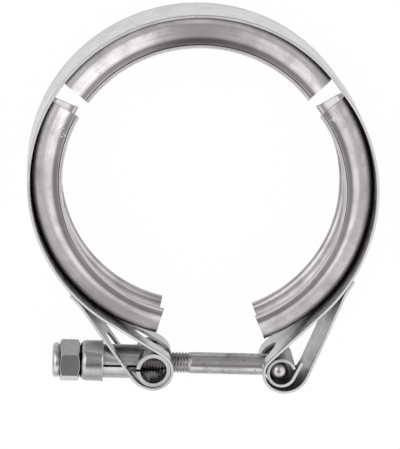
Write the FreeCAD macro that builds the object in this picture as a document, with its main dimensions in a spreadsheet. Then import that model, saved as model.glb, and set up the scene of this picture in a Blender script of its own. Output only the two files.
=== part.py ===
"""T-bolt V-band clamp: three V retainers on a sprung strap, drawn together by a T-bolt.

Frame: millimetres, origin at the centre of the ring on its middle plane, ring axis
along Z, the crown of the ring towards +Y and the T-bolt across the mouth at -Y.
The clamp lies flat on the edge of its strap.  Each arm is drawn on the same circle as
the crown and then swung about its flex line to where it stands at rest: the left arm
stays on the circle, and the right arm springs outward.
"""
import FreeCAD, Part
import math
import os

import Sketcher
from FreeCAD import Placement, Rotation, Vector

# Driving dimensions, in millimetres and degrees.
DIMENSIONS = {
    # strap
    "band_radius": 49.5,            # outer face of the strap
    "band_thickness": 0.8,
    "band_width": 19.05,
    # V retainers
    "crown_angle": 106.4,            # arc covered by the crown's retainer
    "arm_angle": 104.6,              # arc covered by each of the other two
    "gap_angle": 7.4,            # arc between neighbours, over each flex line
    "retainer_thickness": 1.0,
    "weld_gap": 0.05,               # between spot-welded faces
    "retainer_depth": 9.25,         # from the web's outer face to the inner face of the feet
    "foot_reach": 7.15,             # outer tip of a foot, from the middle plane
    "foot_corner": 6.0,             # where flank and foot meet, from the middle plane
    "flank_angle": 20.0,
    "web_bend": 3.4,                # wide bend from web to flank
    "foot_bend": 1.0,
    # loops at the two ends of the strap
    "left_standoff": 8.5,           # from the strap's outer face to the loop's centre
    "left_loop_angle": 13.3,        # loop's centre from -Y, before the arm is swung
    "left_loop_gap": 0.1,           # between the trunnion's barrel and its loop
    "left_belly": 7.7,              # wider bend in which a loop ends
    "left_belly_angle": 262.0,       # where it begins, round the loop from +X
    "left_tail_angle": 48.3,          # tip of the folded-back tail, from -Y
    "right_standoff": 8.75,
    "right_loop_angle": 16.1,
    "right_loop_gap": 0.5,
    "right_belly": 6.6,
    "right_belly_angle": 229.5,
    "right_tail_angle": 52.5,
    "tail_lap_angle": 2.6,                # arc along which a tail lies on the strap
    "tail_bend": 18.0,
    "tube_slot_width": 11.0,
    "tube_slot_rise": 9.8,          # upper end of the slot, above the loop's centre
    "bolt_slot_width": 8.2,
    "bolt_slot_rise": 6.4,
    "bolt_slot_drop": 4.8,
    # inward swing of each arm at rest; an arm that springs out has a negative one
    "left_swing_angle": 0.0,
    "right_swing_angle": -5.6,
    # trunnion
    "barrel_radius": 5.05,
    "barrel_length": 17.8,
    "barrel_wall": 1.15,
    "tube_radius": 5.0,
    "tube_bore_radius": 3.85,
    "tube_length": 20.2,
    "seam_width": 0.7,
    # sleeve round the T-head
    "sleeve_radius": 4.4,
    "sleeve_length": 17.2,
    "sleeve_wall": 0.95,
    "sleeve_mouth_angle": 20.0,           # where the roll begins
    "sleeve_turnout_angle": 25.0,         # where the roll leaves for its tail
    "sleeve_tail": 5.6,
    "sleeve_hole_radius": 3.6,
    # T-bolt
    "bolt_radius": 3.175,
    "bolt_length": 66.15,           # from the cross head's axis to the threaded end
    "bolt_chamfer": 0.7,
    "head_radius": 2.45,
    "head_length": 15.6,
    "head_dome": 1.1,
    "head_clearance": 0.05,
    # cup collar
    "cup_length": 6.8,
    "cup_base": 1.2,
    "cup_radius": 6.0,
    "cup_lip": 0.3,
    "cup_wall": 0.75,
    "cup_round": 1.9,
    "cup_bore_radius": 3.45,
    "seat_gap": 0.05,
    # lock nut
    "nut_flats": 11.11,
    "nut_hex_height": 5.9,
    "nut_height": 7.95,
    "nut_crown_radius": 5.15,
    "nut_crown_round": 0.9,
    "nut_neck_radius": 4.75,
    "nut_neck_width": 0.45,
    "nut_bearing_radius": 5.35,
    "nut_chamfer_angle": 30.0,
    "nut_clearance": 0.09,
}

SHEET = "Dims"


def make_sheet(doc):
    """Write the driving dimensions to a spreadsheet, one alias a row."""
    sheet = doc.addObject("Spreadsheet::Sheet", SHEET)
    for row, (alias, size) in enumerate(DIMENSIONS.items(), start=1):
        sheet.set(f"A{row}", alias)
        sheet.set(f"B{row}", str(size))
        sheet.setAlias(f"B{row}", alias)
    doc.recompute()
    return sheet


class Sizes:
    """The spreadsheet's values by name, and the few that follow from them."""

    def __init__(self, sheet):
        for alias in DIMENSIONS:
            setattr(self, alias, float(sheet.get(alias)))
        self.inner_band = self.band_radius - self.band_thickness
        self.foot_radius = self.inner_band - self.weld_gap - self.retainer_depth
        self.hinge_angle = (self.crown_angle + self.gap_angle) / 2
        self.tail_middle = self.band_radius + self.weld_gap + self.band_thickness / 2
        self.head_offset = (self.sleeve_radius - self.sleeve_wall
                            - self.head_radius - self.head_clearance)

    def swing(self, side):
        """Inward swing of an arm at rest, for side -1 (left) or +1 (right)."""
        return self.left_swing_angle if side < 0 else self.right_swing_angle

    def loop(self, side):
        """Middle radius of an arm's loop, that of its belly, and where the belly begins."""
        half = self.band_thickness / 2
        if side < 0:
            roll = self.barrel_radius + self.left_loop_gap
            return roll + half, self.left_belly + half, self.left_belly_angle
        roll = self.sleeve_radius + self.right_loop_gap
        return roll + half, self.right_belly + half, self.right_belly_angle

    def drawn_loop(self, side):
        """Centre of an arm's loop before the arm is swung."""
        if side < 0:
            return polar(self.band_radius + self.left_standoff, 180 + self.left_loop_angle)
        return polar(self.band_radius + self.right_standoff, 180 - self.right_loop_angle)

    def tail_angle(self, side):
        """Angle of the tip of an arm's tail from -Y, before the arm is swung."""
        return self.left_tail_angle if side < 0 else self.right_tail_angle

    def hinge(self, side):
        """Flex line of an arm, on the inner face of the strap."""
        return polar(self.inner_band, side * self.hinge_angle)

    def arm_placement(self, side):
        """Turn of an arm about its flex line, from fully sprung to its rest."""
        turn = Rotation(Vector(0, 0, 1), -side * self.swing(side))
        return Placement(Vector(), turn, self.hinge(side))

    def loop_centre(self, side):
        """Centre of an arm's loop at rest."""
        return self.arm_placement(side).multVec(self.drawn_loop(side))

    def bolt_line(self):
        """Barrel centre, sleeve centre and the turn of the line that joins them."""
        barrel, sleeve = self.loop_centre(-1), self.loop_centre(+1)
        across = sleeve - barrel
        return barrel, sleeve, math.degrees(math.atan2(across.y, across.x))


def polar(radius, angle, height=0.0):
    """Point at a radius and a clockwise angle from +Y."""
    a = math.radians(angle)
    return Vector(radius * math.sin(a), radius * math.cos(a), height)


def heading(vector):
    """Counter-clockwise angle of a vector from +X, in radians."""
    return math.atan2(vector.y, vector.x)


# ---------------------------------------------------------------- sketch helpers

def dims(formula):
    """The formula with every alias qualified by the sheet's name."""
    words = []
    word = ""
    for letter in formula + " ":
        if letter.isalnum() or letter == "_":
            word += letter
            continue
        words.append(f"{SHEET}.{word}" if word in DIMENSIONS else word)
        words.append(letter)
        word = ""
    return "".join(words).strip()


def bind(thing, name, formula):
    """Drive a property by a formula in the sheet's aliases."""
    thing.setExpression(name, dims(formula))


def new_body(doc, name):
    """Empty PartDesign body whose Label names its file."""
    body = doc.addObject("PartDesign::Body", name)
    body.Label = name
    return body


def new_sketch(body, role, name):
    """Sketch on one of the body's own origin planes."""
    sketch = body.newObject("Sketcher::SketchObject", name)
    plane = next(f for f in body.Origin.OriginFeatures if f.Role == role)
    sketch.AttachmentSupport = [(plane, "")]
    sketch.MapMode = "FlatFace"
    return sketch


def drive(sketch, kind, where, formula):
    """Dimension the geometry as it is drawn, then drive that dimension by a formula."""
    if kind == "Radius":
        drawn = sketch.Geometry[where[0]].Radius
    else:
        drawn = getattr(sketch.getPoint(*where), kind[-1].lower())
    index = sketch.addConstraint(Sketcher.Constraint(kind, *where, drawn))
    bind(sketch, f"Constraints[{index}]", formula)


def drive_point(sketch, where, x, y):
    """Place a point by two formulas, one for each of the sketch's axes."""
    drive(sketch, "DistanceX", where, x)
    drive(sketch, "DistanceY", where, y)


def polygon(sketch, corners):
    """Closed outline of straight sides through corners given as formula pairs."""
    count = len(corners)
    start = [Vector(math.cos(2 * math.pi * i / count), math.sin(2 * math.pi * i / count), 0)
             for i in range(count)]
    sides = [sketch.addGeometry(Part.LineSegment(start[i], start[(i + 1) % count]), False)
             for i in range(count)]
    for i, side in enumerate(sides):
        sketch.addConstraint(Sketcher.Constraint("Coincident", side, 2, sides[(i + 1) % count], 1))
        drive_point(sketch, (side, 1), *corners[i])
    return sides


def circle(sketch, radius, formula):
    """Circle about the sketch's origin."""
    ring = sketch.addGeometry(Part.Circle(Vector(), Vector(0, 0, 1), radius), False)
    sketch.addConstraint(Sketcher.Constraint("Coincident", ring, 3, -1, 1))
    drive(sketch, "Radius", (ring,), formula)
    return ring


def arc(centre, radius, start, end):
    """Counter-clockwise arc between two angles in radians."""
    while end < start:
        end += 2 * math.pi
    return Part.ArcOfCircle(Part.Circle(centre, Vector(0, 0, 1), radius), start, end)


class Run:
    """Straight stretch of a strip's middle line."""

    def __init__(self, start, end):
        self.start, self.end = start, end
        along = end - start
        self.left = Vector(-along.y, along.x, 0).normalize()

    def edge(self, offset):
        """Side of the strip, offset to the left, and its first and last ends."""
        shift = self.left * offset
        return Part.LineSegment(self.start + shift, self.end + shift), 1, 2


class Bend:
    """Round stretch of a strip's middle line; turn is +1 to the left, -1 to the right."""

    def __init__(self, centre, radius, start, end, turn):
        self.centre, self.radius = centre, radius
        self.start, self.end, self.turn = start, end, turn

    def edge(self, offset):
        """Side of the strip, offset to the left, and its first and last ends."""
        radius = self.radius - self.turn * offset
        if self.turn > 0:
            return arc(self.centre, radius, self.start, self.end), 1, 2
        return arc(self.centre, radius, self.end, self.start), 2, 1


def strip(sketch, path, thickness):
    """Closed outline of a bent strip: each side a tangent chain, with a cap at each end.

    Returns the geometry of the left side, then of the right side, each a list of
    (index, first end, last end) in the order of the path.
    """
    chains = []
    for offset in (thickness / 2, -thickness / 2):
        chain = []
        for piece in path:
            shape, first, last = piece.edge(offset)
            chain.append((sketch.addGeometry(shape, False), first, last))
        for (one, _, end), (two, begin, _) in zip(chain, chain[1:]):
            sketch.addConstraint(Sketcher.Constraint("Tangent", one, end, two, begin))
        chains.append(chain)
    left, right = chains
    for near, far in (((left[0][0], left[0][1]), (right[0][0], right[0][1])),
                      ((left[-1][0], left[-1][2]), (right[-1][0], right[-1][2]))):
        ends = [sketch.getPoint(*near), sketch.getPoint(*far)]
        cap = sketch.addGeometry(Part.LineSegment(*ends), False)
        sketch.addConstraint(Sketcher.Constraint("Coincident", cap, 1, *near))
        sketch.addConstraint(Sketcher.Constraint("Coincident", cap, 2, *far))
    return left, right


def pad(body, sketch, name, formula, midplane=True, reverse=False):
    """Pad a sketch by a length formula."""
    feature = body.newObject("PartDesign::Pad", name)
    feature.Profile = sketch
    feature.Midplane = midplane
    feature.Reversed = reverse
    bind(feature, "Length", formula)
    sketch.Visibility = False
    return feature


def pocket(body, sketch, name, formula, midplane=True, reverse=False):
    """Cut a sketch by a length formula."""
    feature = body.newObject("PartDesign::Pocket", name)
    feature.Profile = sketch
    feature.Midplane = midplane
    feature.Reversed = reverse
    bind(feature, "Length", formula)
    sketch.Visibility = False
    return feature


def revolve(body, sketch, name, axis, kind="PartDesign::Revolution", span=None):
    """Turn a sketch about one of its own axes, H_Axis or V_Axis."""
    feature = body.newObject(kind, name)
    feature.Profile = sketch
    feature.ReferenceAxis = (sketch, [axis])
    if span is None:
        feature.Angle = 360
    else:
        feature.Midplane = True
        bind(feature, "Angle", span)
    sketch.Visibility = False
    return feature


# ---------------------------------------------------------------- strap

def strap_crown(doc):
    """Middle stretch of the strap, between the two flex lines."""
    body = new_body(doc, "strap_crown")
    section = new_sketch(body, "YZ_Plane", "crown_section")
    inner, outer, edge = "band_radius - band_thickness", "band_radius", "band_width / 2"
    polygon(section, [(inner, f"-{edge}"), (outer, f"-{edge}"), (outer, edge), (inner, edge)])
    revolve(body, section, "crown_arc", "V_Axis", span="crown_angle + gap_angle")
    return body


def arm_path(size, side):
    """Middle line of an arm: round the ring, out to the loop, round it and back."""
    ring = size.band_radius - size.band_thickness / 2
    loop, belly, belly_angle = size.loop(side)
    centre = size.drawn_loop(side)
    away = side * math.acos((ring + loop) / centre.Length)
    normal = Rotation(Vector(0, 0, 1), math.degrees(away)).multVec(centre / centre.Length)
    belly_centre = centre + polar(loop - belly, 90 - belly_angle)
    bend_at = polar(1.0, 180 - side * (size.tail_angle(side) - size.tail_lap_angle))
    bend_centre = bend_at * (size.tail_middle + size.tail_bend)
    reach = bend_centre - belly_centre
    lean = -side * math.acos((belly + size.tail_bend) / reach.Length)
    outward = Rotation(Vector(0, 0, 1), math.degrees(lean)).multVec(reach / reach.Length)
    hinge = heading(polar(1.0, side * size.hinge_angle))
    tip = heading(polar(1.0, 180 - side * size.tail_angle(side)))
    split = math.radians(belly_angle)
    return [
        Bend(Vector(), ring, hinge, heading(normal), -side),
        Run(normal * ring, centre - normal * loop),
        Bend(centre, loop, heading(-normal), split, side),
        Bend(belly_centre, belly, split, heading(outward), side),
        Run(belly_centre + outward * belly, bend_centre - outward * size.tail_bend),
        Bend(bend_centre, size.tail_bend, heading(-outward), heading(-bend_at), -side),
        Bend(Vector(), size.tail_middle, heading(bend_at), tip, side),
    ]


def strap_arm(doc, size, side, name):
    """One arm of the strap, from its flex line to the loop and its welded tail."""
    body = new_body(doc, name)
    outline = new_sketch(body, "XY_Plane", f"{name}_outline")
    left, right = strip(outline, arm_path(size, side), size.band_thickness)
    outer, inner = (left, right) if side > 0 else (right, left)
    arm = "left" if side < 0 else "right"
    swing = f"{arm}_swing_angle"
    hinge = "(crown_angle + gap_angle) / 2"
    roll = ("barrel" if side < 0 else "sleeve") + f"_radius + {arm}_loop_gap"
    pivot = f"(band_radius + {arm}_standoff)"
    band = {True: "band_radius", False: "(band_radius - band_thickness)"}
    mitre = f"({swing} - asin({band[False]} / {band[True]} * sin({swing})) / 1 deg)"
    for chain, outside in ((outer, True), (inner, False)):
        ring, _, loop, _, _, _, tail = chain
        grow = "" if outside else "+ band_thickness"
        for about_origin in (ring, tail):
            outline.addConstraint(Sketcher.Constraint("Coincident", about_origin[0], 3, -1, 1))
        drive(outline, "Radius", (ring[0],), band[outside])
        drive(outline, "Radius", (loop[0],), f"{roll} {grow}")
        drive(outline, "Radius", (tail[0],),
              f"band_radius + weld_gap {grow}")
        start = f"{hinge} - {mitre}" if outside else hinge
        drive(outline, "DistanceY", ring[:2], f"{band[outside]} * cos({start})")
        tip = f"(band_radius + weld_gap {grow})"
        drive(outline, "DistanceY", (tail[0], tail[2]), f"-{tip} * cos({arm}_tail_angle)")
    drive_point(outline, (outer[2][0], 3),
                f"{side} * {pivot} * sin({arm}_loop_angle)",
                f"-{pivot} * cos({arm}_loop_angle)")
    for round_piece in (2, 3, 5):
        outline.addConstraint(Sketcher.Constraint(
            "Coincident", inner[round_piece][0], 3, outer[round_piece][0], 3))
    drive(outline, "Radius", (outer[3][0],), f"{arm}_belly")
    drive(outline, "DistanceY", outer[3][:2],
          f"({roll}) * sin({arm}_belly_angle) - {pivot} * cos({arm}_loop_angle)")
    drive(outline, "Radius", (outer[5][0],), "tail_bend + band_thickness / 2")
    drive(outline, "DistanceY", outer[6][:2],
          f"-(band_radius + weld_gap) * cos({arm}_tail_angle - tail_lap_angle)")
    pad(body, outline, f"{name}_strip", "band_width")
    return body


def slot_sketch(body, name, width, top, bottom):
    """Slot with a round upper end, drawn across the arm's loop."""
    sketch = new_sketch(body, "YZ_Plane", name)
    half, high, low = 5.0, -50.0, -70.0
    end = sketch.addGeometry(arc(Vector(high, 0, 0), half, -math.pi / 2, math.pi / 2), False)
    corners = [Vector(high, half, 0), Vector(low, half, 0), Vector(low, -half, 0),
               Vector(high, -half, 0)]
    sides = [sketch.addGeometry(Part.LineSegment(*pair), False)
             for pair in zip(corners, corners[1:])]
    sketch.addConstraint(Sketcher.Constraint("Tangent", end, 2, sides[0], 1))
    sketch.addConstraint(Sketcher.Constraint("Coincident", sides[0], 2, sides[1], 1))
    sketch.addConstraint(Sketcher.Constraint("Coincident", sides[1], 2, sides[2], 1))
    sketch.addConstraint(Sketcher.Constraint("Tangent", sides[2], 2, end, 1))
    sketch.addConstraint(Sketcher.Constraint("Vertical", sides[1]))
    sketch.addConstraint(Sketcher.Constraint("Horizontal", sides[0]))
    sketch.addConstraint(Sketcher.Constraint("Horizontal", sides[2]))
    drive(sketch, "Radius", (end,), f"{width} / 2")
    drive_point(sketch, (end, 3), f"-({top}) - {width} / 2", "0")
    drive(sketch, "DistanceX", (sides[1], 1), f"-({bottom})")
    return sketch


def strap_left(doc, size):
    """Left arm of the strap; one long slot lets the trunnion's tube and the bolt through."""
    body = strap_arm(doc, size, -1, "strap_left")
    pivot = "(band_radius + left_standoff)"
    slot = slot_sketch(body, "tube_slot_outline", "tube_slot_width",
                       f"{pivot} * cos(left_loop_angle) - tube_slot_rise",
                       f"{pivot} + band_width")
    pocket(body, slot, "tube_slot", pivot, midplane=False)
    body.Placement = size.arm_placement(-1)
    return body


def strap_right(doc, size):
    """Right arm of the strap; its slot opens only on the bolt's side of the loop."""
    body = strap_arm(doc, size, +1, "strap_right")
    pivot = "(band_radius + right_standoff)"
    level = f"{pivot} * cos(right_loop_angle)"
    slot = slot_sketch(body, "bolt_slot_outline", "bolt_slot_width",
                       f"{level} - bolt_slot_rise", f"{level} + bolt_slot_drop")
    pocket(body, slot, "bolt_slot", f"{pivot} * sin(right_loop_angle)", midplane=False,
           reverse=True)
    body.Placement = size.arm_placement(+1)
    return body


# ---------------------------------------------------------------- V retainers

def retainer_path(size):
    """Middle line of the V section, drawn with the radius along X and Z along Y."""
    half = size.retainer_thickness / 2
    web = size.inner_band - size.weld_gap - half
    foot = size.foot_radius + half
    slope = math.tan(math.radians(size.flank_angle))
    web_corner = size.foot_corner - (web - foot) * slope
    turn = math.radians(90 - size.flank_angle)
    down_flank = Vector(-math.cos(math.radians(size.flank_angle)),
                        math.sin(math.radians(size.flank_angle)), 0)

    web_cut = size.web_bend * math.tan(turn / 2)
    foot_cut = size.foot_bend * math.tan(turn / 2)
    corner = Vector(web, web_corner, 0)
    toe = Vector(foot, size.foot_corner, 0)
    web_centre = Vector(web - size.web_bend, web_corner - web_cut, 0)
    foot_centre = Vector(foot + size.foot_bend, size.foot_corner + foot_cut, 0)
    flank_start = corner + down_flank * web_cut
    flank_end = toe - down_flank * foot_cut

    def below(point):
        return Vector(point.x, -point.y, 0)

    return [
        Run(Vector(foot, -size.foot_reach, 0), Vector(foot, -foot_centre.y, 0)),
        Bend(below(foot_centre), size.foot_bend, math.pi, heading(below(flank_end - foot_centre)), -1),
        Run(below(flank_end), below(flank_start)),
        Bend(below(web_centre), size.web_bend, heading(below(flank_start - web_centre)), 0.0, +1),
        Run(Vector(web, -web_centre.y, 0), Vector(web, web_centre.y, 0)),
        Bend(web_centre, size.web_bend, 0.0, heading(flank_start - web_centre), +1),
        Run(flank_start, flank_end),
        Bend(foot_centre, size.foot_bend, heading(flank_end - foot_centre), math.pi, -1),
        Run(Vector(foot, foot_centre.y, 0), Vector(foot, size.foot_reach, 0)),
    ]


def retainer(doc, size, name, span):
    """One V retainer: a bent sheet section turned round the ring's axis."""
    body = new_body(doc, name)
    section = new_sketch(body, "YZ_Plane", f"{name}_section")
    outside, inside = strip(section, retainer_path(size), size.retainer_thickness)[::-1]
    web = "(band_radius - band_thickness - weld_gap)"
    foot, sheet = f"({web} - retainer_depth)", "retainer_thickness"
    rise = f"({web} - {sheet} - {foot}) * tan(flank_angle)"
    cut = "tan((90 - flank_angle) / 2)"
    drive(section, "Radius", (outside[3][0],), f"web_bend + {sheet} / 2")
    drive(section, "Radius", (outside[7][0],), f"foot_bend - {sheet} / 2")
    drive(section, "Radius", (outside[5][0],), f"web_bend + {sheet} / 2")
    drive(section, "Radius", (outside[1][0],), f"foot_bend - {sheet} / 2")
    web_y = f"(foot_corner - {rise} - web_bend * {cut})"
    foot_y = f"(foot_corner + foot_bend * {cut})"
    for index, sign in ((3, "-"), (5, "")):
        drive_point(section, (outside[index][0], 3), f"{web} - {sheet} / 2 - web_bend",
                    f"{sign}{web_y}")
    for index, sign in ((1, "-"), (7, "")):
        drive_point(section, (outside[index][0], 3), f"{foot} + {sheet} / 2 + foot_bend",
                    f"{sign}{foot_y}")
    for index in (1, 3, 5, 7):
        section.addConstraint(Sketcher.Constraint(
            "Coincident", inside[index][0], 3, outside[index][0], 3))
    for index in (1, 3, 5, 7):
        kind = "web_bend - " if index in (3, 5) else "foot_bend + "
        drive(section, "Radius", (inside[index][0],), f"{kind}{sheet} / 2")
    for chain in (outside, inside):
        drive(section, "DistanceY", chain[0][:2], "-foot_reach")
        drive(section, "DistanceY", (chain[8][0], chain[8][2]), "foot_reach")
        for index in (0, 8):
            section.addConstraint(Sketcher.Constraint("Vertical", chain[index][0]))
    revolve(body, section, f"{name}_arc", "V_Axis", span=span)
    return body


def retainers(doc, size):
    """The three V retainers, one on the crown and one on each arm."""
    made = [retainer(doc, size, "retainer_crown", "crown_angle")]
    for side, name in ((-1, "retainer_left"), (+1, "retainer_right")):
        body = retainer(doc, size, name, "arm_angle")
        along = (size.crown_angle + size.arm_angle) / 2 + size.gap_angle
        step = Rotation(Vector(0, 0, 1), -side * along)
        body.Placement = size.arm_placement(side) * Placement(Vector(), step)
        made.append(body)
    return made


# ---------------------------------------------------------------- trunnion, bolt and nut

def trunnion(doc):
    """Rolled trunnion: a barrel across the strap with two half-pipes round the bolt."""
    body = new_body(doc, "trunnion")
    barrel = new_sketch(body, "XY_Plane", "barrel_outline")
    circle(barrel, 5.0, "barrel_radius")
    pad(body, barrel, "barrel", "barrel_length")
    tube = new_sketch(body, "YZ_Plane", "tube_outline")
    circle(tube, 5.0, "tube_radius")
    pad(body, tube, "tube", "tube_length", midplane=False, reverse=True)
    cavity = new_sketch(body, "XY_Plane", "barrel_bore_outline")
    circle(cavity, 4.0, "barrel_radius - barrel_wall")
    pocket(body, cavity, "barrel_bore", "2 * barrel_length")
    passage = new_sketch(body, "YZ_Plane", "bolt_passage_outline")
    circle(passage, 4.0, "tube_bore_radius")
    pocket(body, passage, "bolt_passage", "4 * tube_length")
    seam = new_sketch(body, "XY_Plane", "seam_outline")
    far, near, edge = "-2 * tube_length", "-barrel_radius / 2", "seam_width / 2"
    polygon(seam, [(far, f"-{edge}"), (near, f"-{edge}"), (near, edge), (far, edge)])
    pocket(body, seam, "seam", "2 * barrel_length")
    return body


def sleeve_path(size):
    """Middle line of the sleeve: a roll round the T-head with its free end turned out."""
    middle = size.sleeve_radius - size.sleeve_wall / 2
    leave = -math.radians(size.sleeve_turnout_angle)
    foot = Vector(middle * math.cos(leave), middle * math.sin(leave), 0)
    along = Vector(-math.sin(leave), math.cos(leave), 0)
    return [
        Bend(Vector(), middle, math.radians(size.sleeve_mouth_angle), leave, +1),
        Run(foot, foot + along * size.sleeve_tail),
    ]


def bolt_sleeve(doc, size):
    """Rolled sleeve that carries the T-head in the right-hand loop."""
    body = new_body(doc, "bolt_sleeve")
    outline = new_sketch(body, "XY_Plane", "sleeve_outline")
    inside, outside = strip(outline, sleeve_path(size), size.sleeve_wall)
    for chain, shrink in ((inside, "- sleeve_wall"), (outside, "")):
        roll, tail = chain
        radius = f"(sleeve_radius {shrink})"
        outline.addConstraint(Sketcher.Constraint("Coincident", roll[0], 3, -1, 1))
        drive(outline, "Radius", (roll[0],), radius)
        drive(outline, "DistanceY", roll[:2], f"{radius} * sin(sleeve_mouth_angle)")
        drive(outline, "DistanceY", (tail[0], tail[1]), f"-{radius} * sin(sleeve_turnout_angle)")
        drive(outline, "DistanceY", (tail[0], tail[2]),
              f"-{radius} * sin(sleeve_turnout_angle) + sleeve_tail * cos(sleeve_turnout_angle)")
    pad(body, outline, "sleeve_roll", "sleeve_length")
    hole = new_sketch(body, "YZ_Plane", "sleeve_hole_outline")
    circle(hole, 3.5, "sleeve_hole_radius")
    pocket(body, hole, "sleeve_hole", "2 * sleeve_radius", midplane=False)
    return body


def t_bolt(doc):
    """T-bolt, drawn about its cross head with the threaded end towards -X."""
    body = new_body(doc, "t_bolt")
    shank = new_sketch(body, "XY_Plane", "shank_section")
    polygon(shank, [
        ("-bolt_length", "0"), ("0", "0"), ("0", "bolt_radius"),
        ("-bolt_length + bolt_chamfer", "bolt_radius"),
        ("-bolt_length", "bolt_radius - bolt_chamfer")])
    revolve(body, shank, "shank", "H_Axis")
    head = new_sketch(body, "XZ_Plane", "head_section")
    axis = head.addGeometry(Part.LineSegment(Vector(0, 7, 0), Vector(0, -7, 0)), False)
    flank = head.addGeometry(Part.LineSegment(Vector(2, -6, 0), Vector(2, 6, 0)), False)
    top = head.addGeometry(arc(Vector(0, 4, 0), 3, math.radians(40), math.radians(90)), False)
    low = head.addGeometry(arc(Vector(0, -4, 0), 3, math.radians(270), math.radians(320)), False)
    for ends in ((axis, 1, top, 2), (top, 1, flank, 2), (flank, 1, low, 2), (low, 1, axis, 2)):
        head.addConstraint(Sketcher.Constraint("Coincident", *ends))
    for dome in (top, low):
        head.addConstraint(Sketcher.Constraint("PointOnObject", dome, 3, -2))
    drive_point(head, (axis, 1), "0", "head_length / 2")
    drive_point(head, (axis, 2), "0", "-head_length / 2")
    drive_point(head, (flank, 2), "head_radius", "head_length / 2 - head_dome")
    drive_point(head, (flank, 1), "head_radius", "head_dome - head_length / 2")
    revolve(body, head, "head", "V_Axis")
    return body


def collar_cup(doc):
    """Cup collar, drawn about the barrel's centre: its base bears on the tube's end."""
    body = new_body(doc, "collar_cup")
    section = new_sketch(body, "XY_Plane", "cup_section")
    back = "(tube_length + seat_gap + cup_base)"
    mouth = f"({back} - cup_length)"
    inner = "(cup_radius - cup_wall)"
    turn = "cup_round * (1 - cos(45))"
    polygon(section, [
        (f"-{back}", "cup_bore_radius"),
        (f"-{back}", "cup_radius - cup_round"),
        (f"-{back} + cup_round * (1 - cos(30))", "cup_radius - cup_round * (1 - sin(30))"),
        (f"-{back} + cup_round * (1 - cos(60))", "cup_radius - cup_round * (1 - sin(60))"),
        (f"-{back} + cup_round", "cup_radius"),
        (f"-{mouth} - 2 * cup_lip", "cup_radius"),
        (f"-{mouth}", "cup_radius + cup_lip"),
        (f"-{mouth}", inner),
        ("-tube_length - seat_gap", inner),
        ("-tube_length - seat_gap", "cup_bore_radius"),
    ])
    revolve(body, section, "cup", "H_Axis")
    return body


def lock_nut(doc):
    """Hex lock nut with a round crown, drawn about the barrel's centre."""
    body = new_body(doc, "lock_nut")
    seat = "(tube_length + 2 * seat_gap + cup_base)"
    crown_start = f"({seat} + nut_hex_height)"
    end = f"({seat} + nut_height)"

    crown = new_sketch(body, "XY_Plane", "crown_outline")
    polygon(crown, [
        (f"-{seat}", "0"), (f"-{seat}", "nut_neck_radius"),
        (f"-{crown_start} - nut_neck_width", "nut_neck_radius"),
        (f"-{crown_start} - nut_neck_width", "nut_crown_radius"),
        (f"-{end} + nut_crown_round", "nut_crown_radius"),
        (f"-{end} + nut_crown_round * (1 - cos(45))",
         "nut_crown_radius - nut_crown_round * (1 - sin(45))"),
        (f"-{end}", "nut_crown_radius - nut_crown_round"),
        (f"-{end}", "0")])
    revolve(body, crown, "nut_core", "H_Axis")

    hexagon = new_sketch(body, "XY_Plane", "hex_corner_section")
    corner = "(nut_flats / 2 / cos(30))"
    rise = f"({corner} - nut_bearing_radius) * tan(nut_chamfer_angle)"
    polygon(hexagon, [
        (f"-{seat}", "0"), (f"-{seat}", "nut_bearing_radius"),
        (f"-{seat} - {rise}", corner), (f"-{crown_start} + {rise}", corner),
        (f"-{crown_start}", "nut_bearing_radius"), (f"-{crown_start}", "0")])
    revolve(body, hexagon, "nut_blank", "H_Axis")

    flats = new_sketch(body, "YZ_Plane", "flat_outline")
    across, wide = "nut_flats / 2", "nut_flats"
    polygon(flats, [(f"-{wide}", across), (wide, across), (wide, wide), (f"-{wide}", wide)])
    flat = pocket(body, flats, "flat", "4 * tube_length")
    pattern = body.newObject("PartDesign::PolarPattern", "six_flats")
    pattern.Originals = [flat]
    pattern.Axis = (flats, ["N_Axis"])
    pattern.Angle = 360
    pattern.Occurrences = 6
    body.Tip = pattern

    bore = new_sketch(body, "YZ_Plane", "nut_bore_outline")
    circle(bore, 3.0, "bolt_radius + nut_clearance")
    pocket(body, bore, "nut_bore", "4 * tube_length")
    return body


def on_the_bolt(doc, size):
    """Trunnion, collar, nut, sleeve and T-bolt, set along the bolt's line at rest."""
    barrel, sleeve, turn = size.bolt_line()
    about = Rotation(Vector(0, 0, 1), turn)
    head = sleeve - about.multVec(Vector(size.head_offset, 0, 0))
    places = (
        (trunnion(doc), barrel), (collar_cup(doc), barrel), (lock_nut(doc), barrel),
        (bolt_sleeve(doc, size), sleeve), (t_bolt(doc), head))
    for body, origin in places:
        body.Placement = Placement(origin, about)
    return [body for body, _ in places]


# ---------------------------------------------------------------- document

def check(doc, bodies):
    """Stop if any object failed to recompute or any sub-part is not one sound solid."""
    for thing in doc.Objects:
        if {"Invalid", "Error"} & set(thing.State):
            raise RuntimeError(f"{thing.Name} did not recompute: {thing.State}")
    for body in bodies:
        shape = body.Shape
        if shape.isNull() or not shape.isValid() or len(shape.Solids) != 1:
            raise RuntimeError(f"{body.Label} is not one valid solid")


def main():
    """Build the document, check it and write one STEP file for each sub-part."""
    doc = FreeCAD.newDocument("v_band_clamp")
    size = Sizes(make_sheet(doc))
    bodies = [strap_crown(doc), strap_left(doc, size), strap_right(doc, size)]
    bodies += retainers(doc, size)
    bodies += on_the_bolt(doc, size)
    doc.recompute()
    check(doc, bodies)
    os.makedirs("parts", exist_ok=True)
    for body in bodies:
        body.Shape.exportStep(f"parts/{body.Label}.step")
        print(f"{body.Label}: {body.Shape.Volume:.1f} mm3")


main()
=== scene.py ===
"""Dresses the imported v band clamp: strap, retainers, trunnion, T-bolt, sleeve and nut.

Sizes are in millimetres in the classes and in metres in Blender. The ring's axis is Z,
the crown's middle is at +Y, and the T-bolt crosses the mouth at -Y with its nut at -X.
"""

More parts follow.
